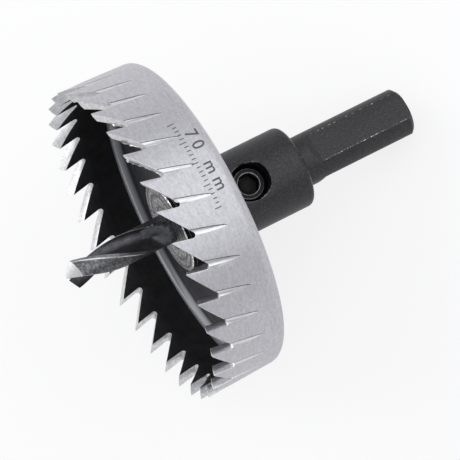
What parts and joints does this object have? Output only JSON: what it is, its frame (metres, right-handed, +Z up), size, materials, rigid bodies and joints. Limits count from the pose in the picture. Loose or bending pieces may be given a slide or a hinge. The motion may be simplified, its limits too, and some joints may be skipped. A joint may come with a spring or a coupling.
{
  "type": "hole saw",
  "caption": "Toothed steel cup on a black arbor with a twist pilot drill held by a set screw; cuts round holes in sheet, driven by a three-flat shank.",
  "frame": {"origin": "on the surface the tool lies on, under the middle of its length", "axes": "+X level, from the cup's mouth toward the end of the shank; +Z up; the tool's own axis lies in the XZ plane and dips 30.4 degrees below +X"},
  "size_m": [0.077, 0.07, 0.068],
  "materials": {
    "cup_steel": "fine circumferential brushing, satin",
    "black_oxide": "black oxide over turned steel, dull sheen",
    "drill_steel": "ground tool steel, mottled grey",
    "screw_steel": "black oxide"
  },
  "bodies": {
    "root": {"saw_cup": "cup_steel", "arbor": "black_oxide", "pilot_drill": "drill_steel", "set_screw": "screw_steel"}
  },
  "joints": []
}
